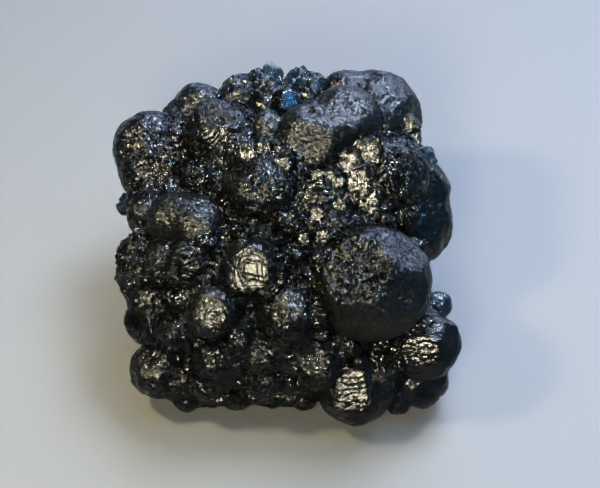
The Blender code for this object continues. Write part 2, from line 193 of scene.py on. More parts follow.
# %% Where the crystals are
SHOW_CRYSTALS = {
    "west_shoulder": (-24.4, 17.4, -2.5, 6.2, "silky"),
    "west_shoulder_foot": (-24.4, 12.6, -3.0, 5.3, "druse"),
    "north_west": (-15.4, 24.1, -5.0, 4.8, "grained"),
    "north_west_step": (-18.6, 22.4, -5.5, 3.6, "smooth"),
    "north_block": (-8.1, 26.2, -3.0, 3.9, "broken"),
    "north_block_east": (-4.0, 26.7, -2.5, 4.1, "broken"),
    "north_peak": (-2.4, 29.7, -3.0, 2.1, "broken"),
    "north_chip": (2.3, 28.0, -2.5, 3.1, "broken"),
    "north_chip_east": (4.7, 27.9, -2.5, 2.4, "broken"),
    "north_rough": (4.4, 25.6, -0.5, 2.6, "broken"),
    "north_dark": (-3.7, 23.9, -0.5, 3.0, "dark"),
    "north_blue": (0.1, 24.6, 1.6, 2.8, "glassy"),
    "great_north_east": (15.1, 21.9, -4.0, 8.9, "silky"),
    "north_east_shoulder": (10.5, 26.0, -2.5, 4.7, "silky"),
    "pale_cap": (-11.9, 19.4, 2.5, 6.0, "ringed"),
    "below_pale_cap": (-14.5, 11.2, 4.0, 4.1, "druse"),
    "slate": (-2.6, 19.6, 2.2, 3.9, "satin"),
    "rippled": (4.6, 18.0, 5.3, 6.5, "rippled"),
    "rippled_shoulder": (10.4, 21.2, 3.3, 6.5, "rippled"),
    "dark_globe": (-4.2, 9.4, 6.9, 7.1, "cobbled"),
    "globe_crown": (-3.4, 14.2, 7.4, 3.6, "broken"),
    "tabular": (17.3, 12.1, 1.5, 7.9, "tablets"),
    "tabular_bump": (24.2, 15.2, -1.0, 2.2, "druse"),
    "ledged_neck": (6.3, 8.3, 6.5, 4.8, "ledged"),
    "east_upper": (23.1, 9.3, -6.0, 6.1, "dark"),
    "east_lower": (22.8, 3.4, -6.0, 7.0, "dark"),
    "west_knob": (-27.3, 6.8, -1.0, 2.3, "druse"),
    "west_saddle": (-23.8, 5.1, 2.0, 4.2, "grained"),
    "silky": (-14.9, 3.4, 8.2, 4.9, "rippled"),
    "silky_west": (-19.3, 4.2, 5.6, 5.0, "grained"),
    "banded": (-16.4, -3.6, 9.7, 4.8, "ledged"),
    "banded_west": (-20.4, -3.2, 7.2, 4.7, "ledged"),
    "west_ball": (-24.7, -2.5, 3.0, 4.9, "druse"),
    "west_ball_foot": (-25.2, -6.2, 4.5, 4.2, "druse"),
    "ringed": (-5.8, -4.4, 12.3, 5.9, "ringed"),
    "speckled": (-12.1, -11.5, 12.3, 4.8, "satin"),
    "pitted_giant": (14.8, -6.8, 11.0, 10.3, "satin"),
    "centre_grey": (0.7, -11.9, 10.5, 6.0, "grained"),
    "west_pillar": (-23.8, -13.4, 5.0, 4.3, "dark"),
    "west_pillar_foot": (-18.4, -15.1, 8.3, 3.9, "druse"),
    "beads": (-8.1, -16.3, 11.5, 2.4, "cobbled"),
    "lower_left": (-12.4, -19.6, 7.5, 4.0, "grained"),
    "lower_middle": (-4.2, -18.6, 8.5, 4.0, "cobbled"),
    "corner": (-22.1, -22.0, 1.0, 5.3, "grained"),
    "front_left": (-14.2, -23.6, 3.5, 3.6, "grained"),
    "front_middle": (-3.7, -22.7, 5.0, 4.2, "grained"),
    "front_block": (2.2, -23.2, 4.5, 3.0, "dark"),
    "knuckle": (5.4, -20.7, 7.0, 4.7, "cobbled"),
    "knuckle_side": (10.6, -17.5, 7.5, 2.7, "grained"),
    "thumb": (12.6, -20.2, 6.5, 1.9, "dark"),
    "dark_block": (16.6, -22.2, 4.0, 3.6, "grained"),
    "front_ball": (12.1, -24.7, 1.5, 7.0, "dark"),
    "blue_rim": (24.1, -17.5, 4.0, 6.3, "dark"),
    "blue_rim_bump": (26.6, -10.7, 1.0, 2.5, "grained"),
    "east_foot": (23.3, -23.7, -1.0, 5.4, "dark"),
    "east_foot_ledge": (19.6, -27.9, -1.7, 2.3, "dark"),
    "toe_left": (-17.2, -26.9, -1.8, 2.7, "dark"),
    "toe_small": (-13.0, -27.2, -2.2, 1.8, "dark"),
    "toe_middle": (-8.8, -26.5, -1.5, 2.9, "dark"),
    "toe_right": (-2.6, -26.6, -2.0, 2.3, "dark"),
    "toe_far_right": (3.2, -26.9, -2.0, 2.5, "dark"),
}
print(len(SHOW_CRYSTALS), "crystals on the show face")

# %% [markdown]
# Some crystals have a few large faces that catch the light. A face is a direction of the show frame and
# the share of the radius at which it cuts the ball. A face flashes when it points half-way between the
# camera and a lamp, so the first face of each bright crystal is turned that way. The others are close to
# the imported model's faces, with a few more that break up large round flanks.

# %% Large faces of the show crystals
SHOW_FACES = {
    "pitted_giant": (
        (-0.37, 0.30, 0.88, 0.80), (0.50, 0.68, 0.54, 0.86), (0.57, -0.14, 0.81, 0.88),
        (-0.15, -0.74, 0.65, 0.88), (1.00, 0.00, 0.05, 0.955),
    ),
    "blue_rim": (
        (-0.134, -0.062, 0.989, 0.80), (-0.18, 0.66, 0.73, 0.85), (0.70, 0.02, 0.71, 0.88),
        (0.05, -0.76, 0.65, 0.86),
    ),
    "front_ball": ((-0.106, -0.045, 0.993, 0.82), (0.60, 0.10, 0.79, 0.88), (-0.5, 0.5, 0.7, 0.9)),
    "pale_cap": ((-0.051, -0.147, 0.988, 0.90), (0.24, 0.72, 0.65, 0.82), (-0.7, 0.0, 0.7, 0.92)),
    "rippled": ((-0.09, -0.145, 0.985, 0.80), (0.82, -0.25, 0.51, 0.84), (0.1, 0.75, 0.65, 0.88)),
    "rippled_shoulder": ((0.10, 0.35, 0.93, 0.86), (0.5, -0.6, 0.62, 0.88)),
    "great_north_east": ((0.35, 0.55, 0.76, 0.93), (-0.2, 0.8, 0.56, 0.92), (0.8, 0.1, 0.6, 0.93)),
    "dark_globe": ((-0.07, -0.125, 0.99, 0.92), (-0.55, 0.60, 0.58, 0.86)),
    "ringed": ((-0.066, -0.093, 0.993, 0.76), (-0.65, -0.1, 0.75, 0.9), (0.1, -0.75, 0.65, 0.9)),
    "speckled": ((-0.052, -0.079, 0.995, 0.70), (0.7, -0.5, 0.5, 0.86), (-0.75, 0.3, 0.6, 0.86)),
    "silky": ((-0.045, -0.112, 0.993, 0.90), (-0.1, 0.7, 0.7, 0.88)),
    "banded": ((-0.042, -0.097, 0.994, 0.86), (0.5, -0.6, 0.62, 0.88)),
    "tabular": ((-0.55, 0.30, 0.78, 0.86), (-0.45, -0.55, 0.70, 0.88), (0.5, -0.2, 0.84, 0.92)),
    "west_shoulder": (
        (0.30, 0.10, 0.95, 0.86), (-0.45, -0.10, 0.88, 0.87), (-1.0, -0.1, 0.05, 0.97),
        (-0.68, 0.68, 0.28, 0.88),
    ),
    "west_pillar": ((-0.5, -0.2, 0.84, 0.72), (-1.0, 0.0, 0.1, 0.95), (0.75, 0.0, 0.66, 0.7)),
    "corner": ((-0.05, 0.35, 0.94, 0.86), (-0.6, -0.75, 0.3, 0.94)),
    "knuckle": ((-0.10, 0.05, 0.99, 0.84), (0.0, -0.8, 0.6, 0.86)),
    "centre_grey": ((0.0, 0.15, 0.99, 0.90), (0.6, -0.5, 0.62, 0.9)),
    "slate": ((0.10, 0.35, 0.93, 0.76), (0.15, 0.70, 0.70, 0.84)),
    "east_lower": ((0.45, 0.10, 0.89, 0.85), (0.85, -0.30, 0.43, 0.90)),
    "east_upper": ((0.50, 0.12, 0.86, 0.86), (0.80, 0.45, 0.40, 0.90)),
    "east_foot": ((0.35, -0.25, 0.90, 0.84), (0.75, -0.5, 0.43, 0.92)),
    "north_block": ((-0.1, 0.9, 0.43, 0.84), (0.1, 0.2, 0.97, 0.84)),
    "north_blue": ((0.281, 0.217, 0.935, 0.72), (-0.7, 0.3, 0.65, 0.8)),
    "dark_block": ((0.10, 0.45, 0.89, 0.78), (-0.78, -0.05, 0.62, 0.82), (0.6, -0.5, 0.62, 0.84)),
    "north_west": ((0.25, 0.95, 0.2, 0.90), (-0.25, 0.15, 0.96, 0.88)),
}

# Small crystals that fill the valleys of the show face: across, up, out, radius.
VALLEY_CRYSTALS = (
    (-1.6, 0.6, 11.6, 1.8), (1.4, -2.2, 12.2, 2.1), (2.8, 1.6, 11.2, 1.6), (-8.2, 2.2, 10.6, 1.7),
    (-11.6, -2.0, 11.6, 1.8), (3.9, -5.2, 12.4, 1.7), (-1.0, -5.8, 14.0, 1.7), (-10.2, 7.8, 8.6, 1.9),
    (-19.6, 9.4, 4.2, 2.3), (-18.0, 12.8, 2.6, 2.0), (-17.2, -9.2, 11.0, 2.4), (-13.6, -6.2, 12.6, 1.5),
    (-8.2, -20.6, 8.6, 1.8), (-18.6, -19.2, 5.2, 2.3), (0.6, -18.6, 9.8, 1.7), (6.0, -15.2, 11.0, 2.0),
    (18.6, -18.4, 6.4, 2.0), (-9.6, -26.0, 1.6, 1.9), (-19.0, -25.4, -0.4, 1.8), (-8.0, -23.8, 4.4, 1.9),
    (20.6, 4.2, 3.2, 1.9), (-9.4, 24.4, -1.4, 1.9), (-6.9, 21.3, 2.2, 1.8),
)
large_faces = sum(len(faces) for faces in SHOW_FACES.values())
print(large_faces, "large faces,", len(VALLEY_CRYSTALS), "small crystals")

# %% [markdown]
# The rest of the stone is covered by an even spiral of crystals over a rounded core, worked out as the
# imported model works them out: small ones in the valleys of the show face, larger ones elsewhere.

# %% The core and the spiral of crystals on it
CORE_HALF = np.array([24.6, 22.5, 18.5])
CORE_CENTRE = np.array([0.0, 3.0, 12.5])
CORE_SQUARENESS = 2.7
SPREAD_COUNT = 86
SPREAD_RADII = (4.8, 6.3)
UNDER_RADII = (2.3, 3.3)
SHOW_SIDE = 0.28
HALF_WIDTH = 27.6
GAP_FROM, GAP_BELOW, GAP_ABOVE = 16.0, -14.0, -2.0


def core_reach(directions):
    """A rounded block: the sum of (component over half size) to the power of its squareness is 1."""
    parts = np.abs(directions / CORE_HALF) ** CORE_SQUARENESS
    return parts.sum(axis=-1) ** (-1 / CORE_SQUARENESS)


def spread_places():
    """(name, middle, radius) of each crystal of the spiral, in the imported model's order of draws."""
    golden = math.pi * (3 - math.sqrt(5))
    dice = random.Random("spread")
    for n in range(SPREAD_COUNT):
        height = 1 - 2 * (n + 0.5) / SPREAD_COUNT
        ring = math.sqrt(1 - height * height)
        around = golden * n + dice.uniform(-0.1, 0.1)
        direction = np.array([ring * math.cos(around), ring * math.sin(around), height])
        on_show_side = direction @ VIEWER > SHOW_SIDE
        radius = dice.uniform(*(UNDER_RADII if on_show_side else SPREAD_RADII))
        sink = 0.0 if on_show_side else 0.30
        middle = CORE_CENTRE + direction * (core_reach(direction) - sink * radius)
        in_gap = middle[0] > GAP_FROM and GAP_BELOW < (middle - SHOW_CENTRE) @ SHOW_AXES[1] < GAP_ABOVE
        if in_gap or middle[2] < -0.5 * radius:
            continue
        middle[0] = min(max(middle[0], radius - HALF_WIDTH), HALF_WIDTH - radius)
        yield f"spread_{n}", middle, radius


print(len(list(spread_places())), "crystals in the spiral")

# %% [markdown]
# ## Faces of a cubic crystal
#
# Fluorite is cubic. Its forms are the cube, the octahedron, the rhombic dodecahedron and the trapezohedron,
# and a crystal that shows them all at much the same distance looks like a ball. The turn of each crystal
# comes from its name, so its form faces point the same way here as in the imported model.

# %% Form faces
FORM_CUTS = {(0, 0, 1): 0.94, (1, 1, 1): 0.955, (0, 1, 1): 0.965, (1, 1, 2): 0.98}
LARGE_CRYSTAL = 6.4
SMALL_CRYSTAL = 3.7
Crystal = namedtuple("Crystal", "name middle radius normals cuts own finish")


def form_faces(name, radius):
    """Normals and cuts of the forms: every order and sign of each form's indices, turned at random."""
    dice = random.Random(name)
    turn = np.array(Euler([dice.uniform(0, math.tau) for _ in range(3)]).to_matrix())
    forms = dict(FORM_CUTS)
    if radius < LARGE_CRYSTAL:
        del forms[(1, 1, 2)]
    if radius < SMALL_CRYSTAL:
        del forms[(0, 1, 1)]
    normals, cuts = [], []
    for index in np.ndindex(5, 5, 5):
        index = np.array(index) - 2
        cut = forms.get(tuple(sorted(abs(index).tolist())))
        if cut:
            normals.append(turn @ unit(index))
            cuts.append(cut * dice.uniform(0.98, 1.02))
    return np.array(normals), np.array(cuts)


def show_crystal(name):
    """A crystal of the show face: its large faces first, then the form faces that they leave room for."""
    across, up, out, radius, finish = SHOW_CRYSTALS[name]
    faces = SHOW_FACES.get(name, ())
    own = show_normals([face[:3] for face in faces]) if faces else np.zeros((0, 3))
    own_cuts = np.array([face[3] + 0.002 * n for n, face in enumerate(faces)])
    normals, cuts = form_faces(name, radius)
    free = np.all(normals @ own.T < 0.92, axis=1) if faces else np.ones(len(cuts), bool)
    return Crystal(
        name, from_show((across, up, out)), radius, np.concatenate([own, normals[free]]),
        np.concatenate([own_cuts, cuts[free]]), len(faces), finish,
    )


def valley_crystal(n):
    """A small cube with its corners cut off."""
    across, up, out, radius = VALLEY_CRYSTALS[n]
    dice = random.Random(f"valley_{n}")
    turn = np.array(Euler([dice.uniform(0, math.tau) for _ in range(3)]).to_matrix())
    sides = np.concatenate([np.eye(3), -np.eye(3)])
    corners = unit(np.array(list(np.ndindex(2, 2, 2))) * 2 - 1)
    return Crystal(
        f"valley_{n}", from_show((across, up, out)), radius, np.concatenate([sides, corners]) @ turn.T,
        np.concatenate([np.full(6, 0.74), np.full(8, 0.95)]), 0, "sharp",
    )


# A crystal of the spiral that lies under the dark lobe on the right. At full size it stands out there as a
# pale lump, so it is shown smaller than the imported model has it.
HELD_BACK = {"spread_34": 0.72}
RIGHT_SIDE = 15
FAR_FINISHES = ("grained", "druse", "cobbled", "grained")
SMALL_SHARE = 0.86
crystals = [show_crystal(name) for name in SHOW_CRYSTALS]
crystals += [valley_crystal(n) for n in range(len(VALLEY_CRYSTALS))]
for name, middle, radius in spread_places():
    normals, cuts = form_faces(name, min(radius, SMALL_CRYSTAL - 1))
    finish = FAR_FINISHES[len(crystals) % len(FAR_FINISHES)]
    if middle[0] > RIGHT_SIDE:
        finish = "dark"
    if name in HELD_BACK:
        radius *= HELD_BACK[name]
    if radius < SMALL_CRYSTAL:
        radius, finish = radius * SMALL_SHARE, "druse"
    crystals.append(Crystal(name, middle, radius, normals, cuts, 0, finish))
print(len(crystals), "crystals with", sum(len(c.cuts) for c in crystals), "faces")

# %% [markdown]
# ## One crystal's skin
#
# A crystal is a star-shaped solid: from its middle, each direction meets the skin once. So its shape is one
# number for each direction, the reach, worked out on a ball of six square patches. The reach is the least
# of the ball's radius and of the distance to each face, drawn together softly so that edges are rounded.
#
# Faces of fluorite are seldom flat. Each is a very low hill of growth steps, so a face drops away from the
# hill's top in a staircase. Other finishes lay cobbles, pits, ledges or tablets on that.

# %% A ball of six square patches


@functools.lru_cache(maxsize=None)
def ball_grid(n):
    """Directions and four-cornered faces of a ball. The two parameters of each patch run over a side of a
    cube, as the tangent of equal angles, and each point is drawn in to length 1. Points on the cube's
    edges are shared, so the skin is closed."""
    steps = np.arange(n + 1)
    i, j, k = np.meshgrid(steps, steps, steps, indexing="ij")
    on_skin = (i % n == 0) | (j % n == 0) | (k % n == 0)
    number = np.full(on_skin.shape, -1)
    number[on_skin] = np.arange(on_skin.sum())
    cube = np.stack([i, j, k], axis=-1)[on_skin] * 2 / n - 1
    faces = []
    for axis in range(3):
        for side in (0, n):
            sheet = number.take(side, axis)
            quads = np.stack([sheet[:-1, :-1], sheet[1:, :-1], sheet[1:, 1:], sheet[:-1, 1:]], axis=-1)
            outward = (axis != 1) == (side == n)
            faces.append((quads if outward else quads[..., ::-1]).reshape(-1, 4))
    return unit(np.tan(cube * math.pi / 4)), np.concatenate(faces)


print("a patch of 8 by 8 gives", len(ball_grid(8)[0]), "points and", len(ball_grid(8)[1]), "faces")

# %% [markdown]
# A finish is a handful of measures, in millimetres: how far edges are rounded, the growth steps' height and
# the hill's slope, the size and depth of cobbles, and how strongly the fine patterns of the material show.

# %% Finishes
Finish = namedtuple("Finish", "rounding step slope cobble_size cobble_depth swell frost glitter rings")
FINISHES = {
    "satin": Finish(0.55, 0.05, 0.04, 1.0, 0.10, 0.30, 0.60, 0.55, 0.10),
    "dark": Finish(0.35, 0.06, 0.05, 1.8, 0.16, 0.24, 0.36, 0.30, 0.10),
    "smooth": Finish(0.50, 0.06, 0.06, 1.6, 0.22, 0.20, 0.60, 0.30, 0.15),
    "silky": Finish(0.40, 0.09, 0.09, 1.1, 0.16, 0.24, 0.60, 0.42, 0.12),
    "grained": Finish(0.35, 0.09, 0.09, 1.2, 0.14, 0.26, 0.48, 0.55, 0.12),
    "rippled": Finish(0.60, 0.13, 0.13, 1.3, 0.11, 0.18, 0.66, 0.44, 0.35),
    "ringed": Finish(0.30, 0.12, 0.12, 1.0, 0.14, 0.14, 0.45, 0.40, 1.00),
    "cobbled": Finish(0.35, 0.08, 0.08, 1.0, 0.20, 0.20, 0.48, 0.75, 0.10),
    "druse": Finish(0.20, 0.10, 0.10, 1.5, 0.55, 0.30, 0.32, 0.85, 0.10),
    "ledged": Finish(0.30, 0.10, 0.10, 1.2, 0.18, 0.20, 0.45, 0.60, 0.40),
    "broken": Finish(0.12, 0.20, 0.22, 1.9, 0.80, 0.25, 0.44, 0.60, 0.10),
    "tablets": Finish(0.20, 0.12, 0.10, 1.3, 0.25, 0.18, 0.30, 0.50, 0.30),
    "glassy": Finish(0.06, 0.06, 0.00, 0.9, 0.15, 0.05, 0.10, 0.12, 0.10),
    "sharp": Finish(0.06, 0.06, 0.06, 0.9, 0.15, 0.10, 0.20, 0.50, 0.10),
    "plate": Finish(0.10, 0.10, 0.00, 1.0, 0.16, 0.08, 0.20, 0.45, 0.10),
}
print(len(FINISHES), "finishes:", ", ".join(FINISHES))

# %% [markdown]
# The relief functions each take the points of the skin so far and give how much to add to the reach.

# %% Relief laid on a skin


LEDGE_AXIS = show_normals((0.05, -0.96, -0.25))
LEDGE_PITCH = 1.15
LEDGE_DEPTH, RIPPLE_DEPTH = 0.5, 0.07


def face_hills(crystal, directions, wobble):
    """Distance to every face along every direction, with each face lowered away from its hill's top by
    slope times distance, gathered into steps. Also how far out on its own face each point is."""
    finish = FINISHES[crystal.finish]
    facing = np.maximum(directions @ crystal.normals.T, 0.2)
    flat = crystal.cuts * crystal.radius / facing
    side = unit(np.cross(crystal.normals, [0.31, 0.87, 0.38]))
    other = np.cross(crystal.normals, side)
    dice = random.Random(crystal.name + " hills")
    tops = crystal.radius * 0.25 * np.array([[dice.gauss(0, 1), dice.gauss(0, 1)] for _ in crystal.cuts])
    out = np.hypot(directions @ side.T * flat - tops[:, 0], directions @ other.T * flat - tops[:, 1])
    out = np.clip(out + wobble[:, None] * 0.26 * crystal.radius, 0, crystal.radius)
    lowered = stairs(out * finish.slope, finish.step, 0.35)
    return (crystal.cuts * crystal.radius - lowered) / facing, out


def soft_least(reaches, rounding):
    """The least of each row, with the corner between near-equal ones rounded off."""
    least = reaches.min(axis=1, keepdims=True)
    return (least - rounding * np.log(np.exp((least - reaches) / rounding).sum(axis=1, keepdims=True)))[:, 0]


def chip_relief(points, size, depth, seed):
    """Small flats: each cell has its own height and its own random lean, the dot product of a random
    vector and the way from its seed point. A shallow crease runs where two cells meet."""
    first, second, owner, way = cells_of(points / size, seed)
    lean = np.stack([owner * k % 1.0 for k in (17.0, 59.0, 113.0)], axis=1) * 2 - 1
    crease = 1 - smooth_step(second - first, 0.0, 0.22)
    return depth * (0.9 * (owner - 0.5) + 0.9 * (lean * way).sum(axis=1) - 0.35 * crease)


def pit_relief(points, size, depth):
    """Blunt hollows inside each cobble, with the net of creases between them left standing as ridges."""
    first, second, owner, _ = cells_of(points / size, 43)
    inside = smooth_step(second - first, 0.0, 0.62)
    return -depth * inside * np.where(owner > 0.25, 0.35 + 0.75 * owner, -0.30)


def ledge_relief(points, depth):
    """Ledges: along one axis, the skin climbs a little and then drops into a narrow groove, with a
    wandering edge."""
    along = points @ LEDGE_AXIS / LEDGE_PITCH + 0.9 * rough_noise(points * [0.22, 0.5, 0.5], 51)
    share = along - np.floor(along)
    groove = 1 - smooth_step(np.minimum(share, 1 - share), 0.03, 0.20)
    return depth * (0.35 * (share - 0.5) - 0.8 * groove)


def tablet_reach(crystal, points, directions, axis, size):
    """Flat-topped blocks that all face one way at random heights, parted by deep cracks."""
    first, second, owner, _ = cells_of(points / size, 5)
    top = crystal.radius * (0.80 + 0.20 * owner)
    crack = 1 - smooth_step(second - first, 0.05, 0.18)
    facing = np.maximum(directions @ axis, 0.05)
    return (top - 1.3 * crack) / facing


print("relief functions are ready")

# %% [markdown]
# Two faces are pitted, where the mineral was etched. And where the stone broke along its cleavage, flat
# tablets stand out.

# %% Pitted faces and tablets
# which large face, how much of it, and the pits' size and depth
PITTED = {"pitted_giant": (0, 0.98, 1.55, 0.98), "pale_cap": (1, 0.90, 1.15, 0.55)}

# Tablets that stand out of the tabular crystal and the ledged neck: across, up, out, radius.
TABLETS = (
    (11.8, 16.2, 7.4, 2.0), (14.4, 15.6, 8.0, 2.6), (11.0, 13.9, 8.2, 2.3), (12.6, 10.4, 8.6, 2.7),
    (14.2, 7.0, 8.0, 2.6), (11.2, 7.6, 8.4, 1.7), (20.9, 21.0, 2.6, 1.8), (21.6, 17.6, 2.4, 1.9),
    (8.4, 6.6, 10.2, 2.3), (5.2, 8.8, 10.4, 2.6), (6.8, 10.9, 9.8, 2.8), (7.6, 3.2, 9.6, 2.2),
    (-3.6, 16.4, 10.2, 1.7), (-0.4, 13.6, 11.4, 1.9), (-6.6, 15.2, 10.0, 2.0),
    (3.0, 0.7, 12.8, 1.5), (6.4, 1.3, 13.2, 1.6), (5.4, 5.4, 11.4, 1.7), (12.9, -15.9, 10.4, 1.6),
)
TABLET_HALF = 1.6
TABLET_SIDES = 5
TABLET_LEAN = 0.03


def tablet_crystal(n):
    """A flat-topped five-sided block: its top and foot are parallel, its sides are cut at random."""
    across, up, out, radius = TABLETS[n]
    dice = random.Random(f"tablet_{n}")
    leans = [dice.uniform(-TABLET_LEAN, TABLET_LEAN) for _ in range(2)]
    normal = show_normals((-0.107 + leans[0], -0.132 + leans[1], 0.985))
    side = unit(np.cross(normal, [0.2, 0.9, 0.1]))
    other = np.cross(normal, side)
    angles = [math.tau * (k + dice.uniform(-0.3, 0.3)) / TABLET_SIDES for k in range(TABLET_SIDES)]
    sides = np.array([math.cos(a) * side + math.sin(a) * other + 0.08 * normal for a in angles])
    reach = np.array([radius * dice.uniform(0.66, 1.0) for _ in angles])
    ball = math.hypot(radius * 1.25, TABLET_HALF) * 1.04
    return Crystal(
        f"tablet_{n}", from_show((across, up, out)) - normal * (TABLET_HALF - 0.1), ball,
        np.concatenate([[normal, -normal], unit(sides)]),
        np.concatenate([[TABLET_HALF, TABLET_HALF], reach]) / ball, 1, "plate",
    )


crystals += [tablet_crystal(n) for n in range(len(TABLETS))]
print(len(crystals), "crystals, tablets included")

# %% [markdown]
# Now one skin can be worked out whole: the soft least of ball and hills, the relief of its finish, and for
# each point four numbers that the material reads later: how frosted it is, how much it glitters, how
# strongly its growth lines show, and how far out on its hill it lies.
#
# Fine faces everywhere would be far too many. So the grid's directions are pulled towards the side that is
# looked at, which packs its points there and thins them out behind. The pull is stronger, and the grid
# finer, on the few crystals with a bright or a pitted face.
#
# A bright face has to stay flat to flash as one. There the skin is calm: swell, chips and glitter fade out
# inwards from the face's rim, and only low steps or shingles are left on it.

# %% A crystal's skin
FINE_EDGE, SHOW_EDGE, BACK_EDGE = 0.40, 0.62, 1.00
FINE_PULL, SHOW_PULL = 0.55, 0.30
FRONT_FROM = -8
SKIN_SHARE = 0.93
WOBBLE_SCALE = 0.42
TABLET_CELL, TABLET_ROUNDING = 2.3, 0.08
TERRACE_SLOPE, TERRACE_STEP = 0.035, 0.05
SHINGLE_SLOPE, SHINGLE_STEP, SHINGLE_RISER = 0.12, 0.12, 0.22
HALF_WAY = show_normals((-0.107, -0.135, 0.985))
CALM_FROM, CALM_TO = 0.05, 0.35
CALM_FROST = 0.42
LINED_FADE, PLAIN_FADE = 0.80, 0.40
LINES_ON_CALM = 0.9
LINED_FROM = 0.12
DISC_RIM = 0.012
DISC_STAND = 0.15
DISC_FROST, DISC_GLITTER = 0.70, 0.20
DISC_CHIPS = (0.8, 0.28, 44)
NUMBERS = ("frost", "glitter", "rings", "phase")
BRIGHT = ("blue_rim", "front_ball", "ringed", "speckled", "banded", "pale_cap", "north_blue")
SHINGLED = ("blue_rim", "front_ball", "banded")


def terraces(margin):
    """Polygonal growth steps: the face climbs in stairs with the distance from its own rim."""
    return stairs(np.clip(margin, 0, 4) * TERRACE_SLOPE, TERRACE_STEP, 0.20)


def skin(crystal):
    """(places, four-cornered faces, numbers for the material) of one crystal."""
    finish = FINISHES[crystal.finish]
    edge, pull, towards = BACK_EDGE, 0.0, VIEWER
    if (crystal.middle - SHOW_CENTRE) @ VIEWER > FRONT_FROM:
        edge, pull = SHOW_EDGE, SHOW_PULL
    if crystal.name in PITTED or crystal.name in BRIGHT:
        edge, pull, towards = FINE_EDGE, FINE_PULL, crystal.normals[0]
    n = max(6, round(crystal.radius * math.pi / 2 / edge))
    directions, quads = ball_grid(n)
    directions = unit(directions + pull * towards)
    near = crystal.middle + directions * crystal.radius * SKIN_SHARE
    wobble = rough_noise(near * WOBBLE_SCALE, 1)
    hills, out = face_hills(crystal, directions, wobble)
    ball = np.full((len(directions), 1), crystal.radius)
    reaches = np.concatenate([ball, hills], axis=1)
    reach = soft_least(reaches, finish.rounding * 0.5) + 0.3 * finish.rounding
    nearest = reaches.argmin(axis=1)
    phase = np.where(nearest > 0, np.take_along_axis(out, np.maximum(nearest - 1, 0)[:, None], 1)[:, 0], 0)
    calm = np.zeros(len(reach))
    if crystal.name in BRIGHT or crystal.finish == "plate":
        margin = np.delete(reaches, 1, axis=1).min(axis=1) - reaches[:, 1] + 0.08 * wobble
        calm = smooth_step(margin, CALM_FROM, CALM_TO)
        if crystal.name in SHINGLED:
            along = near @ LEDGE_AXIS + 0.9 * wobble
            middle = (crystal.middle + crystal.normals[0] * crystal.radius * 0.8) @ LEDGE_AXIS
            shingles = stairs((along - middle) * SHINGLE_SLOPE, SHINGLE_STEP, SHINGLE_RISER)
            reach -= calm * shingles / np.maximum(directions @ crystal.normals[0], 0.3)
            phase = np.where(calm > 0, along, phase)
        elif finish.rings > LINED_FROM:
            reach += calm * terraces(margin)
            phase = np.where(calm > 0, margin * 1.1, phase)
    reach = reach + finish.swell * rough_noise(near * 0.33, 21) * 1.5 * (1 - 0.92 * calm)
    bare = chip_relief(near + 0.25 * wobble[:, None], finish.cobble_size, finish.cobble_depth, 31)
    reach += bare * (1 - 0.9 * calm)
    lined = finish.rings > LINED_FROM
    frost = finish.frost + (min(CALM_FROST, finish.frost) - finish.frost) * calm
    glitter = finish.glitter * (1 - (LINED_FADE if lined else PLAIN_FADE) * calm)
    rings = finish.rings * (nearest > 0) + ((LINES_ON_CALM if lined else 0.0) - finish.rings) * calm
    if crystal.name in PITTED:
        face, wide, size, depth = PITTED[crystal.name]
        spot = directions @ crystal.normals[face] + 0.05 * rough_noise(near * 0.5, 41)
        edge_of_disc = crystal.cuts[face] + (1 - crystal.cuts[face]) * (1 - wide)
        inside = smooth_step(spot, edge_of_disc - DISC_RIM, edge_of_disc + DISC_RIM)
        reach += inside * (pit_relief(near + 0.5 * wobble[:, None], size, depth) + DISC_STAND)
        reach += inside * (chip_relief(near, *DISC_CHIPS) - bare)
        glitter = glitter + (DISC_GLITTER - glitter) * inside
        frost = frost + (DISC_FROST - frost) * inside
    if crystal.finish == "ledged":
        reach += ledge_relief(near, LEDGE_DEPTH) * (1 - 0.7 * calm)
    if crystal.finish == "tablets":
        blocks = tablet_reach(crystal, near, directions, HALF_WAY, TABLET_CELL)
        reach = soft_least(np.stack([reach, blocks], axis=1), TABLET_ROUNDING)
    numbers = np.stack([frost, glitter, rings, phase], axis=1)
    return crystal.middle + directions * reach[:, None], quads, numbers


places, quads, numbers = skin(crystals[0])
print(crystals[0].name, "has", len(places), "points")

# %% [markdown]
# ## Joining
#
# Crystals that grow into each other share their insides, and a rough web fills the clefts between them.
# Neighbours that merged wholly are shown as one rounded block, with the relief of a finish.
# The Boolean modifier's union finds where the skins
# cross and keeps only the outer one. Its Manifold solver is fast and carries the points' numbers through.
# The last step takes a block away below the flat cut that the specimen rests on.

# %% Mesh helpers


def mesh_object(name, places, faces, numbers=None):
    """An object whose mesh has these places, in millimetres, and faces, and one attribute per number."""
    mesh = bpy.data.meshes.new(name)
    mesh.from_pydata(places * MM, [], faces)
    for column, number in enumerate(NUMBERS if numbers is not None else ()):
        layer = mesh.attributes.new(number, "FLOAT", "POINT")
        layer.data.foreach_set("value", numbers[:, column].astype(np.float32))
    made = bpy.data.objects.new(name, mesh)
    bpy.context.scene.collection.objects.link(made)
    return made


WEB_FILLET, WEB_SINK, WEB_GRID = 2.4, 1.40, 34


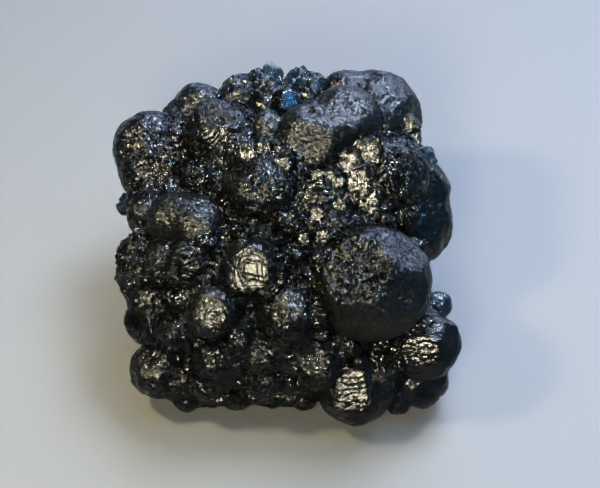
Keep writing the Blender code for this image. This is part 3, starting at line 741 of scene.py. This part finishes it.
def far_side(directions, centre, members, grown_by):
    """How far each direction, from the centre, has to go to leave the last grown crystal it crosses:
    the ball's far side, or the first of the crystal's large faces on the way out."""
    reach = np.zeros(len(directions))
    for member in members:
        way = member.middle - centre
        along = directions @ way
        half_chord = np.sqrt(np.maximum((member.radius + grown_by) ** 2 - way @ way + along ** 2, 0))
        enter, leave = along - half_chord, along + half_chord
        for normal, cut in zip(member.normals[:member.own], member.cuts):
            facing = directions @ normal
            facing = np.where(np.abs(facing) < 1e-6, 1e-6, facing)
            meet = (cut * member.radius + grown_by + way @ normal) / facing
            leave = np.where(facing > 0, np.minimum(leave, meet), leave)
            enter = np.where(facing < 0, np.maximum(enter, meet), enter)
        reach = np.maximum(reach, np.where((half_chord > 0) & (leave > enter), leave, 0))
    return reach


def filled_reach(directions, centre, members, fillet):
    """The clefts between crystals filled as far as a ball of the fillet's radius can't enter them: every
    crystal is grown by that radius, and what lies within it of the grown surface is taken off again."""
    grown = far_side(directions, centre, members, fillet)
    if centre is CORE_CENTRE:
        grown = np.maximum(grown, core_reach(directions))
    grown = directions * grown[:, None]
    reach = []
    for some in np.array_split(directions, 24):
        along = some @ grown.T
        aside = (grown ** 2).sum(axis=1) - along ** 2
        meet = along - np.sqrt(np.maximum(fillet ** 2 - aside, 0))
        reach.append(np.where((aside < fillet ** 2) & (along > 0), meet, 99).min(axis=1))
    return np.concatenate(reach)


def made_finer(centre, directions, reach, quads):
    """The same closed surface with each face divided in four by a Subdivision Surface modifier."""
    coarse = mesh_object("coarse", centre + directions * reach[:, None], quads)
    finer = coarse.modifiers.new("finer", "SUBSURF")
    finer.levels = finer.render_levels = 1
    mesh = coarse.evaluated_get(bpy.context.evaluated_depsgraph_get()).to_mesh()
    places = np.empty(len(mesh.vertices) * 3)
    mesh.vertices.foreach_get("co", places)
    faces = np.empty(len(mesh.polygons) * 4, np.int32)
    mesh.polygons.foreach_get("vertices", faces)
    bpy.data.objects.remove(coarse)
    return places.reshape(-1, 3) / MM, faces.reshape(-1, 4)


def web():
    """The rough mass that fills the clefts between crystals: the filled shape, sunk a little and broken
    up by two sizes of small flats."""
    directions, quads = ball_grid(WEB_GRID)
    directions = unit(directions + 0.2 * VIEWER)
    reach = filled_reach(directions, CORE_CENTRE, crystals, WEB_FILLET) - WEB_SINK
    places, faces = made_finer(CORE_CENTRE, directions, reach, quads)
    relief = chip_relief(places, 2.1, 0.8, 61) + chip_relief(places, 1.0, 0.35, 62)
    places += unit(places - CORE_CENTRE) * relief[:, None]
    return places, faces, np.tile([0.35, 0.9, 0.1, 0.0], (len(places), 1))


# Crystals that merged: members, fillet, sink, finish. Where the sink is 0, only the rounded block shows.
MASSES = (
    (("rippled", "rippled_shoulder"), 9.0, 0.0, "rippled"),
    (("silky", "silky_west"), 7.0, 0.0, "rippled"),
    (("east_upper", "east_lower"), 8.0, 0.0, "dark"),
    (("great_north_east", "north_east_shoulder"), 7.0, 0.0, "silky"),
    (("west_shoulder", "west_shoulder_foot"), 5.0, 0.0, "grained"),
    (("banded", "banded_west"), 6.0, 0.8, "ledged"),
    (("west_ball", "west_ball_foot", "banded_west"), 6.0, 0.3, "druse"),
    (("centre_grey", "knuckle", "knuckle_side", "lower_middle"), 5.0, 0.5, "grained"),
    (("tabular", "east_upper"), 6.0, 0.6, "tablets"),
    (("north_block", "north_block_east", "north_rough"), 5.0, 0.3, "broken"),
    (("toe_middle", "toe_right", "toe_left", "toe_far_right"), 6.0, 0.2, "grained"),
    (
        ("lower_left", "lower_middle", "front_left", "front_middle", "beads", "front_block"),
        5.0, 0.5, "druse",
    ),
    (("blue_rim", "east_foot"), 4.0, 0.8, "dark"),
    (("below_pale_cap", "west_shoulder_foot", "west_saddle"), 5.0, 0.5, "druse"),
    (("dark_globe", "globe_crown"), 4.0, 0.3, "cobbled"),
    (("front_ball", "dark_block", "thumb"), 4.0, 0.8, "dark"),
    (("west_pillar", "west_pillar_foot", "west_ball_foot"), 5.0, 0.5, "grained"),
    (("corner", "front_left", "toe_left"), 5.0, 0.5, "grained"),
)
WHOLLY_MERGED = {name for members, _, sink, _ in MASSES if sink == 0 for name in members}


def mass(members, fillet, sink, finish_name):
    """A rounded block round several crystals, with the relief of a finish."""
    members = [crystal for crystal in crystals if crystal.name in members]
    finish = FINISHES[finish_name]
    centre = np.mean([member.middle for member in members], axis=0)
    size = max(np.linalg.norm(member.middle - centre) + member.radius for member in members)
    n = round(size * math.pi / 4 / SHOW_EDGE)
    directions, quads = ball_grid(n)
    directions = unit(directions + SHOW_PULL * VIEWER)
    reach = filled_reach(directions, centre, members, fillet) - sink
    places, faces = made_finer(centre, directions, reach, quads)
    wobble = rough_noise(places * WOBBLE_SCALE, 71)
    relief = finish.swell * 2.0 * rough_noise(places * 0.30, 72)
    relief += chip_relief(places + 0.25 * wobble[:, None], finish.cobble_size, finish.cobble_depth, 73)
    if finish_name in ("ledged", "rippled"):
        relief += ledge_relief(places, LEDGE_DEPTH if finish_name == "ledged" else RIPPLE_DEPTH)
    places += unit(places - centre) * relief[:, None]
    phase = 3.0 + (places @ show_normals((0.3, 0.9, 0.2))) * 0.8 + wobble
    numbers = [np.full(len(places), value) for value in (finish.frost, finish.glitter, finish.rings)]
    return places, faces, np.stack([*numbers, phase], axis=1)


def joined(name, base, others, block):
    """The union of base with every object in others, less the block."""
    group = bpy.data.collections.new(name + " parts")
    for other in others:
        group.objects.link(other)
    for operation, operand in (("UNION", group), ("DIFFERENCE", block)):
        cut = base.modifiers.new(operation.title(), "BOOLEAN")
        cut.operation = operation
        cut.solver = "MANIFOLD"
        cut.operand_type = "COLLECTION" if operand is group else "OBJECT"
        if operand is group:
            cut.collection = operand
        else:
            cut.object = operand
    solid = bpy.data.meshes.new_from_object(base.evaluated_get(bpy.context.evaluated_depsgraph_get()))
    for used in (base, block, *others):
        bpy.data.objects.remove(used)
    bpy.data.collections.remove(group)
    whole = bpy.data.objects.new(name, solid)
    solid.name = name
    bpy.context.scene.collection.objects.link(whole)
    return whole


cube = ball_grid(1)
block_places = np.sign(cube[0]) * [60, 60, 20] - [0, 0, 20]
parts = [mesh_object(c.name, *skin(c)) for c in crystals if c.name not in WHOLLY_MERGED]
parts += [mesh_object(f"mass_{n}", *mass(*members)) for n, members in enumerate(MASSES)]
print("points in all parts:", sum(len(part.data.vertices) for part in parts))
cluster = joined(
    "fluorite_crystals", mesh_object("web", *web()), parts, mesh_object("block", block_places, cube[1])
)
print("triangles after joining:", sum(len(p.vertices) - 2 for p in cluster.data.polygons))

# %% [markdown]
# A union can leave a few small closed bits inside, cut off from the rest. They would be stray faces in a
# printed or exported stone, so only the largest connected piece is kept.

# %% One piece


def stray_points(mesh):
    """True for each point that isn't in the largest connected piece. Each point takes the least number
    among its neighbours, over and over, until every piece has one number of its own."""
    ends = np.empty(len(mesh.edges) * 2, np.int32)
    mesh.edges.foreach_get("vertices", ends)
    ends = ends.reshape(-1, 2)
    piece = np.arange(len(mesh.vertices))
    before = None
    while before is None or np.any(before != piece):
        before = piece.copy()
        least = piece[ends].min(axis=1)
        np.minimum.at(piece, ends[:, 0], least)
        np.minimum.at(piece, ends[:, 1], least)
        piece = piece[piece]
    return piece != np.bincount(piece).argmax()


def drop_points(mesh, dropped):
    """The points marked in dropped taken away, with their faces."""
    work = bmesh.new()
    work.from_mesh(mesh)
    work.verts.ensure_lookup_table()
    bmesh.ops.delete(work, geom=[work.verts[n] for n in np.flatnonzero(dropped)], context="VERTS")
    work.to_mesh(mesh)
    work.free()


drop_points(cluster.data, stray_points(cluster.data))
print("triangles now:", sum(len(p.vertices) - 2 for p in cluster.data.polygons))

# %% [markdown]
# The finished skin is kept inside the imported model's box, which is the object's stated size. Faces are
# shaded smoothly except where they meet at more than a set angle, so steps and crystal edges stay crisp.

# %% Size and shading
SHARP_ANGLE = math.radians(27)


def keep_in_box(obj, low, high):
    """Every coordinate drawn back to the box where it stands outside it."""
    places = np.empty(len(obj.data.vertices) * 3)
    obj.data.vertices.foreach_get("co", places)
    held = np.clip(places.reshape(-1, 3), low, high)
    obj.data.vertices.foreach_set("co", held.ravel())
    obj.data.update()


keep_in_box(cluster, *np.array(cad_box))
cluster.data.polygons.foreach_set("use_smooth", np.ones(len(cluster.data.polygons), bool))
cluster.data.set_sharp_from_angle(angle=SHARP_ANGLE)
corners = np.array(cluster.bound_box)
print("box of the skin:", corners.min(0).round(5), corners.max(0).round(5))

# %% [markdown]
# ## The finish
#
# Deep blue fluorite lets light in and swallows it within a few millimetres: red first, then green, then
# blue. So the shader is clear glass with fluorite's low refractive index, and the colour comes only from
# absorption in its volume. Thin edges show a dark teal and thick parts look black. On top lies the skin's
# own texture: a mosaic of tiny flats that glitter, growth lines that follow the hills, and a frost that
# blurs the reflections.

# %% Node helpers


def add_node(tree, kind, **settings):
    """A new node with some of its settings and unlinked inputs filled in."""
    node = tree.nodes.new(kind)
    for name, value in settings.items():
        if name in node.inputs.keys():
            node.inputs[name].default_value = value
        else:
            setattr(node, name, value)
    return node


def sum_up(tree, operation, first, second=None, third=None):
    """One Math node: each operand is a socket or a number."""
    node = add_node(tree, "ShaderNodeMath", operation=operation)
    for slot, operand in enumerate((first, second, third)):
        if operand is None:
            continue
        if isinstance(operand, (int, float)):
            node.inputs[slot].default_value = operand
        else:
            tree.links.new(operand, node.inputs[slot])
    return node.outputs[0]


def number_of(tree, name):
    """The number that each point of the skin carries under this name."""
    return add_node(tree, "ShaderNodeAttribute", attribute_name=name).outputs["Fac"]


def mosaic(tree, place, per_metre, seed):
    """Tiny flats: space is split into cells, and in each the height climbs along its own random
    direction, from the dot product of that direction and the way from the cell's middle."""
    cells = add_node(tree, "ShaderNodeTexVoronoi", feature="F1", Scale=per_metre, Randomness=1.0)
    shifted = add_node(tree, "ShaderNodeVectorMath", operation="ADD")
    shifted.inputs[1].default_value = (seed, 2 * seed, 3 * seed)
    tree.links.new(place, shifted.inputs[0])
    tree.links.new(shifted.outputs[0], cells.inputs["Vector"])
    scaled = add_node(tree, "ShaderNodeVectorMath", operation="SUBTRACT")
    tree.links.new(shifted.outputs[0], scaled.inputs[0])
    tree.links.new(cells.outputs["Position"], scaled.inputs[1])
    lean = add_node(tree, "ShaderNodeVectorMath", operation="SUBTRACT")
    lean.inputs[1].default_value = (0.5, 0.5, 0.5)
    tree.links.new(cells.outputs["Color"], lean.inputs[0])
    climb = add_node(tree, "ShaderNodeVectorMath", operation="DOT_PRODUCT")
    tree.links.new(scaled.outputs[0], climb.inputs[0])
    tree.links.new(lean.outputs[0], climb.inputs[1])
    return climb.outputs["Value"]


# %% [markdown]
# Real growth lines are steps too low to model one by one, so the finest of them are bump: stairs on the
# number that says how far out on its hill a point lies. Their height, and the spacing of the tiny flats,
# are in metres, because the material reads the mesh's own coordinates.

# %% The fluorite
IOR = 1.434
GROWTH_LINE = 0.00060
LINE_HEIGHT = 0.00013
GRAIN_HEIGHT = 0.00006
FINE_FLATS, FINE_STRENGTH = (2600.0, 0.013), 1.15
COARSE_FLATS, COARSE_STRENGTH = (1200.0, 0.029), 0.22
ROUGHNESS_LEAST, ROUGHNESS_MOST = 0.12, 0.47
ABSORPTION_DENSITY = 950.0
ABSORPTION_COLOUR = (0.03, 0.41, 0.53, 1)


def fluorite():
    """Clear, frosted, and coloured by what its volume absorbs."""
    material = bpy.data.materials.new("midnight fluorite")
    material.use_nodes = True
    tree = material.node_tree
    shader = tree.nodes["Principled BSDF"]
    shader.inputs["Base Color"].default_value = (1, 1, 1, 1)
    shader.inputs["IOR"].default_value = IOR
    shader.inputs["Transmission Weight"].default_value = 1.0
    place = add_node(tree, "ShaderNodeTexCoord").outputs["Object"]
    frost = number_of(tree, "frost")
    glitter = number_of(tree, "glitter")
    rings = number_of(tree, "rings")
    phase = number_of(tree, "phase")
    grain = add_node(tree, "ShaderNodeTexNoise", Scale=1400.0, Detail=3.0, Roughness=0.6)
    patches = add_node(tree, "ShaderNodeTexNoise", Scale=170.0, Detail=4.0, Roughness=0.6)
    for noise in (grain, patches):
        tree.links.new(place, noise.inputs["Vector"])
    # growth lines: stairs that go down with the distance out on the hill, wandering a little
    wander = sum_up(tree, "MULTIPLY", patches.outputs["Fac"], 1.2)
    turns = sum_up(tree, "MULTIPLY_ADD", phase, MM / GROWTH_LINE, wander)
    riser = add_node(tree, "ShaderNodeMapRange", interpolation_type="SMOOTHSTEP")
    riser.inputs["From Min"].default_value = 0.60
    tree.links.new(sum_up(tree, "FRACT", turns), riser.inputs["Value"])
    stair = sum_up(tree, "ADD", sum_up(tree, "FLOOR", turns), riser.outputs["Result"])
    lines = sum_up(tree, "MULTIPLY", sum_up(tree, "MULTIPLY", stair, rings), -LINE_HEIGHT)
    fine = sum_up(tree, "MULTIPLY", mosaic(tree, place, *FINE_FLATS), FINE_STRENGTH)
    coarse = sum_up(tree, "MULTIPLY", mosaic(tree, place, *COARSE_FLATS), COARSE_STRENGTH)
    flats = sum_up(tree, "MULTIPLY", sum_up(tree, "ADD", fine, coarse), glitter)
    relief = sum_up(tree, "ADD", lines, flats)
    relief = sum_up(tree, "MULTIPLY_ADD", grain.outputs["Fac"], GRAIN_HEIGHT, relief)
    bump = add_node(tree, "ShaderNodeBump", Strength=1.0, Distance=1.0)
    tree.links.new(relief, bump.inputs["Height"])
    tree.links.new(bump.outputs["Normal"], shader.inputs["Normal"])
    rough = add_node(tree, "ShaderNodeMapRange")
    rough.inputs["To Min"].default_value = ROUGHNESS_LEAST
    rough.inputs["To Max"].default_value = ROUGHNESS_MOST
    frosted = sum_up(tree, "MULTIPLY_ADD", frost, 1.0, -0.25)
    mixed = sum_up(tree, "MULTIPLY_ADD", patches.outputs["Fac"], 0.5, frosted)
    tree.links.new(mixed, rough.inputs["Value"])
    tree.links.new(rough.outputs["Result"], shader.inputs["Roughness"])
    absorption = add_node(tree, "ShaderNodeVolumeAbsorption", Density=ABSORPTION_DENSITY)
    absorption.inputs["Color"].default_value = ABSORPTION_COLOUR
    tree.links.new(absorption.outputs["Volume"], tree.nodes["Material Output"].inputs["Volume"])
    return material


cluster.data.materials.clear()
cluster.data.materials.append(fluorite())
cluster.data.polygons.foreach_set("material_index", np.zeros(len(cluster.data.polygons), np.int32))
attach(cluster, "root")
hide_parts("fluorite_cluster")
print("materials:", [m.name for m in cluster.data.materials])

# %% [markdown]
# ## Floor, light and camera
#
# The specimen stands on a plain pale floor. One large square is enough for it, because only its shade, its
# dullness and the shadows on it are seen.

# %% Floor
FLOOR_HALF = 2.0


def plain_floor():
    """A square grid of four corners at height 0."""
    mesh = bpy.data.meshes.new("floor")
    corners = np.array([(-1, -1, 0), (1, -1, 0), (1, 1, 0), (-1, 1, 0)]) * FLOOR_HALF
    mesh.from_pydata(corners.tolist(), [], [(0, 1, 2, 3)])
    material = bpy.data.materials.new("pale floor")
    material.use_nodes = True
    shader = material.node_tree.nodes["Principled BSDF"]
    shader.inputs["Base Color"].default_value = (0.095, 0.095, 0.096, 1)
    shader.inputs["Roughness"].default_value = 0.6
    mesh.materials.append(material)
    made = bpy.data.objects.new("floor", mesh)
    bpy.context.scene.collection.objects.link(made)
    return made


floor = plain_floor()
print("floor is", 2 * FLOOR_HALF, "m wide")

# %% [markdown]
# Eight soft lamps light the stone. What is seen of it is mostly their mirror images, so each one is a square
# of a chosen width and brightness in a chosen direction. A warm lamp on the left draws the bright faces in
# gold, and a weaker warm pair near the camera, a lamp and a screen, light the faces that look at the
# viewer. Three cool ones behind and above, two windows and one overhead, give the dull faces their slate
# colour. A small blue lamp is for one blue face at the top, and a wide dim blue one tints the right flank.

# %% Lamps and sky


LAMP_AIM = 0.02


def screen(name, towards, distance, degrees, radiance, colour):
    """A square lamp that far from the specimen in that direction, facing it. It looks that many degrees wide
    from the specimen and that bright: its power is pi times its area times its radiance."""
    side = 2 * distance * math.tan(math.radians(degrees) / 2)
    light = bpy.data.lights.new(name, "AREA")
    light.shape = "RECTANGLE"
    light.size, light.size_y = side, side
    light.energy = math.pi * side * side * radiance
    light.color = colour
    made = bpy.data.objects.new(name, light)
    towards = Vector(towards).normalized()
    made.location = towards * distance + Vector((0, 0, LAMP_AIM))
    made.rotation_euler = towards.to_track_quat("Z", "Y").to_euler()
    bpy.context.scene.collection.objects.link(made)
    return made


screen("left lamp", (-0.545, -0.03, 0.84), 0.18, 6.0, 440.0, (1.0, 0.88, 0.54))
screen("back window", (0.34, 0.48, 1.0), 0.40, 22.0, 50.0, (0.74, 0.84, 1.0))
screen("tall window", (0.32, 0.80, 0.38), 1.20, 55.0, 7.2, (0.54, 0.68, 1.0))
screen("overhead", (0.15, 0.10, 1.0), 0.90, 30.0, 5.5, (0.66, 0.77, 1.0))
screen("front screen", from_show((-0.14, -0.14, 0.98)) - SHOW_CENTRE, 0.60, 22.0, 22.0, (1.0, 0.93, 0.74))
screen("blue lamp", from_show((0.50, 0.50, 0.71)) - SHOW_CENTRE, 0.50, 8.0, 42.0, (0.05, 0.42, 1.0))
screen("front lamp", from_show((-0.16, -0.20, 0.97)) - SHOW_CENTRE, 0.50, 10.0, 80.0, (1.0, 0.93, 0.68))
screen("blue side", (1.0, 0.10, 0.35), 0.80, 75.0, 0.60, (0.10, 0.58, 1.0))
world = bpy.data.worlds.new("dim sky")
world.use_nodes = True
world.node_tree.nodes["Background"].inputs["Color"].default_value = (0.65, 0.90, 1.0, 1)
world.node_tree.nodes["Background"].inputs["Strength"].default_value = 0.05
bpy.context.scene.view_settings.view_transform = "Standard"
bpy.context.scene.view_settings.gamma = 0.86
bpy.context.scene.world = world
print("lights:", [o.name for o in bpy.data.objects if o.type == "LIGHT"])

# %% [markdown]
# The camera looks square-on at the leaning show face, from 0.4 m. Its long lens keeps near and far crystals
# at much the same scale, and depth of field is left off so that every crystal is sharp.

# %% Camera
CAMERA_DISTANCE = 0.4
FRAME_WIDTH = 0.105
CAMERA_ACROSS = 2.45


def show_camera():
    """A camera square-on to the show face, whose frame is 105 mm wide where the specimen stands."""
    camera = bpy.data.cameras.new("camera")
    camera.sensor_width = 36.0
    camera.lens = 36.0 * CAMERA_DISTANCE / FRAME_WIDTH
    camera.clip_start = 0.01
    made = bpy.data.objects.new("camera", camera)
    turn = Matrix(SHOW_AXES.T.tolist()).to_4x4()
    place = from_show((CAMERA_ACROSS, 0, CAMERA_DISTANCE / MM)) * MM
    made.matrix_world = Matrix.Translation(place.tolist()) @ turn
    bpy.context.scene.collection.objects.link(made)
    bpy.context.scene.camera = made
    return made


print("camera stands at", show_camera().matrix_world.translation)
